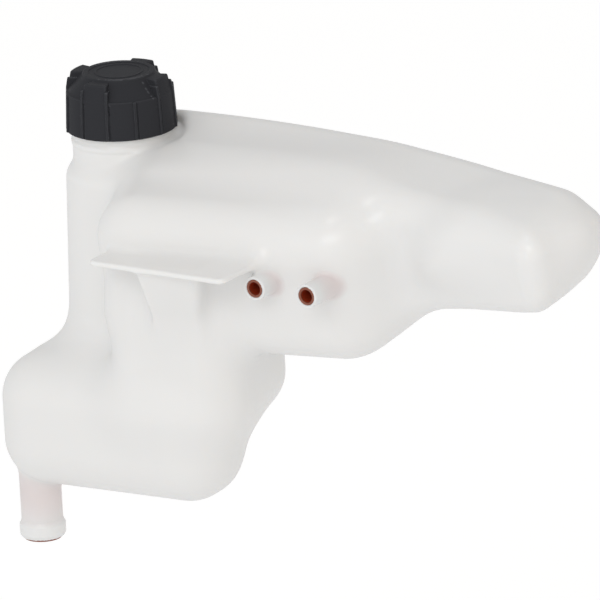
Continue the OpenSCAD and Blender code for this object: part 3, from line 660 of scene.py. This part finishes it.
def side_radius(z):
    """Skirt's radius, which shrinks evenly with the height."""
    return CAP_R + (CAP_TOP_R - CAP_R) * z / SKIRT


def cap_body(p):
    """Skirt, cone and disc joined, cut by the dish and joined with the raised ring."""
    out, z = np.hypot(p[..., 0], p[..., 1]), p[..., 2]
    body = soft_max(soft_max(out - side_radius(z), SKIRT_FOOT - z, SKIRT_FOLD), z - SKIRT, SKIRT_FOLD)
    rise, run, face_r = CAP_H - FACE_DOWN - SKIRT, CAP_TOP_R - FACE_IN - DISC_R, CAP_TOP_R - FACE_IN
    cone = ((out - face_r) * rise + (z - SKIRT) * run) / np.hypot(rise, run)
    cone = np.maximum(np.maximum(cone, z - CONE_CUT), np.maximum(out - face_r, CONE_FOOT - z))
    body = soft_min(body, cone, CONE_FOLD)
    disc = rod(p, (0, 0, 0), 2, DISC_FOOT, CAP_H, DISC_R, DISC_EDGE)
    dish = flat(out - DISC_R + DISH_IN, DISH_FLOOR - z)
    body = soft_max(soft_min(body, disc, DISC_FOLD), -dish, DISH_FOLD)
    raised = np.abs(out - DISC_R + RAISED_IN) - RAISED_HALF
    return soft_min(body, flat(raised, z - RAISED_TOP, RAISED_FOOT - z), RAISED_FOLD)


print("cap:", 2 * CAP_R, "mm across its skirt and", CAP_H - SKIRT_FOOT, "mm high")


# %% [markdown]
# ## Grips and ribs
# Four broad grips and twelve narrow ribs help the hand. Both repeat round the cap, so the angle is
# folded into one period first, and then a single grip or rib is drawn. A groove runs beside each rib,
# and a rib is higher where it borders a grip.

# %% Grips and ribs
GRIPS, GRIP_TURN, GRIP_HALF, GRIP_OUT, GRIP_EDGE, GRIP_ROUND = 4, 5, 15, 0.1, 0.8, 1.0
GRIP_TOP, GRIP_FOOT, SLANT_IN, SLANT_UP = CAP_H - 0.9, 1.5, 1.2, 8
RIBS, RIB_HALF, RIB_OUT, RIB_EDGE, RIB_FOOT, RIB_ROOT = 12, 0.75, 0.75, 0.3, 1.2, 20
RIB_BY_GRIP, RIB_ON_SKIRT = CAP_H - 4, SKIRT - 0.3
GROOVE_AT, GROOVE_HALF, GROOVE_DEEP, GROOVE_DOWN = 1.25, 0.3, 0.35, 1.5


def wrap(angle, period):
    """Angle folded into the range from minus half a period to plus half a period."""
    return (angle + period / 2) % period - period / 2


def round_cap(p):
    """Radius, height and angle of each point, and how far the face leans in above the skirt."""
    out, z = np.hypot(p[..., 0], p[..., 1]), p[..., 2]
    angle = np.degrees(np.arctan2(p[..., 1], p[..., 0])) - GRIP_TURN
    return out, z, angle, np.clip((z - SKIRT) / SLANT_UP, 0, 1) * SLANT_IN


def grip(p):
    """Sector of the skirt that stands up to the top: an angle limit, a radius and a height."""
    out, z, angle, slant = round_cap(p)
    along = np.radians(wrap(angle, 360 / GRIPS)) * out
    return flat(np.abs(along) - np.radians(GRIP_HALF) * out + GRIP_ROUND,
                out - side_radius(z) - GRIP_OUT + slant + GRIP_ROUND,
                z - GRIP_TOP + GRIP_EDGE, GRIP_FOOT - z) - GRIP_EDGE


def rib_and_groove(p):
    """Upright bar on the skirt, limited by its angle, radius and height, and the groove to its right."""
    out, z, angle, slant = round_cap(p)
    beside = np.radians(wrap(angle - 180 / RIBS, 360 / RIBS)) * out
    high = np.where(np.abs(wrap(angle, 360 / GRIPS)) < 360 / RIBS, RIB_BY_GRIP, RIB_ON_SKIRT)
    rib = flat(np.abs(beside) - RIB_HALF + RIB_EDGE, out - side_radius(z) - RIB_OUT + slant + RIB_EDGE,
               RIB_ROOT - out, z - high + RIB_EDGE, RIB_FOOT - z) - RIB_EDGE
    groove = flat(np.abs(beside - GROOVE_AT) - GROOVE_HALF, side_radius(z) - GROOVE_DEEP - out,
                  z - SKIRT + GROOVE_DOWN)
    return rib, groove


print("a grip every", 360 / GRIPS, "degrees and a rib every", 360 / RIBS)


# %% [markdown]
# ## Cap piece
# The inside is three steps: a wide bore round the neck, a narrower opening over its rim, and a room
# with a sloping wall for the valve's cover. The cap is small and full of detail, so its grid is even,
# at 0.4 mm.

# %% Cap piece
BORE_R, BORE_TOP, OPENING_R, OPENING_TOP = 25.8, 18.6, 18, 20.1
COVER_R, COVER_CONE, COVER_SLOPE, COVER_FOOT, COVER_TOP = 20.5, 22.3, 0.93, 20, 26.6
GRIP_FOLD, GROOVE_FOLD = 0.6, 0.3


def cap_hollow(p):
    """Room inside the cap: the smallest of three turned steps."""
    out, z = np.hypot(p[..., 0], p[..., 1]), p[..., 2]
    hollow = np.minimum(flat(out - BORE_R, z - BORE_TOP), flat(out - OPENING_R, z - OPENING_TOP))
    cone = out - COVER_R + np.maximum(z - COVER_CONE, 0) * COVER_SLOPE
    return np.minimum(hollow, flat(cone, z - COVER_TOP, COVER_FOOT - z))


def cap(p):
    """The whole cap: body and grips joined, cut by the grooves, joined with the ribs, hollowed."""
    rib, groove = rib_and_groove(p)
    body = soft_min(cap_body(p), grip(p), GRIP_FOLD)
    body = np.minimum(soft_max(body, -groove, GROOVE_FOLD), rib)
    return np.maximum(body, -cap_hollow(p))


around = lines((-29.6, 0.4), (29.6, 0))
points, faces, normals = nets(cap, around, around, lines((-0.8, 0.4), (30.4, 0)))
piece("cap_shell_moulding", points, faces, black, "cap", "cap_shell", normals)

# %% [markdown]
# ## Camera
# The camera looks from the right front and a little above, and is rolled by three degrees. It stands
# far off with a long lens, because the tank shows hardly any perspective.

# %% Camera
AZIMUTH, ELEVATION, ROLL, MM_WIDE, SENSOR = 35, 17, 3.2, 300, 36
FRAME_AT = (89.0, -86.5)  # middle of the picture from the filler axis, in millimetres across and up
CAMERA_FAR = 10.0

a, e, r = (math.radians(v) for v in (AZIMUTH, ELEVATION, ROLL))
back = Vector((math.sin(a) * math.cos(e), -math.cos(a) * math.cos(e), math.sin(e)))
right = Vector((math.cos(a), math.sin(a), 0))
up = back.cross(right)
right, up = right * math.cos(r) - up * math.sin(r), right * math.sin(r) + up * math.cos(r)
camera = bpy.data.objects.new("camera", bpy.data.cameras.new("camera"))
bpy.context.collection.objects.link(camera)
bpy.context.scene.camera = camera
target = Vector(FILLER / 1000) + (right * FRAME_AT[0] + up * FRAME_AT[1]) / 1000
turn = Matrix((right, up, back)).transposed().to_4x4()
camera.matrix_world = Matrix.Translation(target + back * CAMERA_FAR) @ turn
camera.data.sensor_width = SENSOR
camera.data.lens = SENSOR * CAMERA_FAR / (MM_WIDE / 1000)
camera.data.clip_end = 6 * CAMERA_FAR
print("lens:", round(camera.data.lens), "mm at", CAMERA_FAR, "metres")


# %% [markdown]
# ## Lamps
# A plain studio needs little: a wide soft key lamp in front, and a small one above that draws the
# highlights along the folds.

# %% Lamps
def lamp(name, at, aim, wide, high, power):
    """Soft rectangular lamp that shines from at towards aim: its z axis points from aim to at."""
    data = bpy.data.lights.new(name, "AREA")
    data.shape, data.size, data.size_y, data.energy = "RECTANGLE", wide, high, power
    obj = bpy.data.objects.new(name, data)
    bpy.context.collection.objects.link(obj)
    obj.location = at
    obj.rotation_euler = (Vector(at) - Vector(aim)).to_track_quat("Z", "Y").to_euler()
    obj.visible_camera = False
    print(name, "lamp:", power, "watts")


lamp("key", (0.45, -1.3, 0.85), (0.06, 0.06, -0.04), 0.9, 0.35, 4.4)
lamp("top", (0.0, -0.45, 1.05), (0.15, 0.03, -0.02), 0.2, 0.1, 0.6)

# %% [markdown]
# ## Ambient light
# The world lights the object as a light tent does: brighter from the front, softer from above, and a
# little warmer from the right. Its strength is a level plus the dot product of the direction with a
# pull. The camera itself sees plain white, which Light Path tells apart.

# %% Ambient light
LEVEL, FROM_FRONT, FROM_RIGHT, FROM_TOP = 0.87, 0.16, 0.07, -0.28
WHITE, WARM = (1, 1, 1, 1), (1, 0.96, 0.915, 1)

world = bpy.data.worlds.new("studio")
bpy.context.scene.world = world
world.use_nodes = True
tree = world.node_tree
tree.nodes.clear()
where = node(tree, "ShaderNodeTexCoord")
pull = node(tree, "ShaderNodeVectorMath", operation="DOT_PRODUCT")
pull.inputs[1].default_value = (FROM_RIGHT, -FROM_FRONT, FROM_TOP)
level = node(tree, "ShaderNodeMath", operation="ADD")
level.inputs[1].default_value = LEVEL
tree.links.new(where.outputs["Generated"], pull.inputs[0])
tree.links.new(pull.outputs["Value"], level.inputs[0])

side = node(tree, "ShaderNodeSeparateXYZ")
warm = node(tree, "ShaderNodeValToRGB")
warm.color_ramp.elements[0].color, warm.color_ramp.elements[1].color = WHITE, WARM
tree.links.new(where.outputs["Generated"], side.inputs[0])
tree.links.new(side.outputs["X"], warm.inputs["Fac"])

path = node(tree, "ShaderNodeLightPath")
seen = node(tree, "ShaderNodeBackground", Color=WHITE, Strength=1.0)
ambient = node(tree, "ShaderNodeBackground")
mix = node(tree, "ShaderNodeMixShader")
out = node(tree, "ShaderNodeOutputWorld")
tree.links.new(level.outputs[0], ambient.inputs["Strength"])
tree.links.new(warm.outputs["Color"], ambient.inputs["Color"])
tree.links.new(path.outputs["Is Camera Ray"], mix.inputs["Fac"])
tree.links.new(ambient.outputs[0], mix.inputs[1])
tree.links.new(seen.outputs[0], mix.inputs[2])
tree.links.new(mix.outputs[0], out.inputs["Surface"])
print("ambient light from the front:", LEVEL + FROM_FRONT, "and from above:", round(LEVEL + FROM_TOP, 2))

# %% [markdown]
# ## Floor
# The tank hangs on its ledge, so the floor lies well below it. The floor glows a little more for the
# camera than for the object, so that it looks white and still takes the object's soft shadow.

# %% Floor
FLOOR_Z, FLOOR_HALF, FLOOR_SEEN, FLOOR_GLOW = -0.45, 6.0, 0.65, 0.47

pale, tree, shader = material("pale_floor", Roughness=0.9, Specular_IOR_Level=0.0)
shader.inputs["Base Color"].default_value = (0.5, 0.5, 0.5, 1)
shader.inputs["Emission Color"].default_value = WHITE
path = node(tree, "ShaderNodeLightPath")
level = node(tree, "ShaderNodeMapRange")
level.inputs["To Min"].default_value, level.inputs["To Max"].default_value = FLOOR_GLOW, FLOOR_SEEN
tree.links.new(path.outputs["Is Camera Ray"], level.inputs["Value"])
tree.links.new(level.outputs[0], shader.inputs["Emission Strength"])
mesh = bpy.data.meshes.new("floor")
corners = [(x * FLOOR_HALF, y * FLOOR_HALF, FLOOR_Z) for x, y in ((-1, -1), (1, -1), (1, 1), (-1, 1))]
mesh.from_pydata(corners, [], [(0, 1, 2, 3)])
mesh.materials.append(pale)
floor = bpy.data.objects.new("floor", mesh)
bpy.context.collection.objects.link(floor)
print("floor:", FLOOR_Z, "metres")

# %% [markdown]
# ## Finish
# Standard keeps the colours as they are written.

# %% Finish
bpy.context.scene.view_settings.view_transform = "Standard"
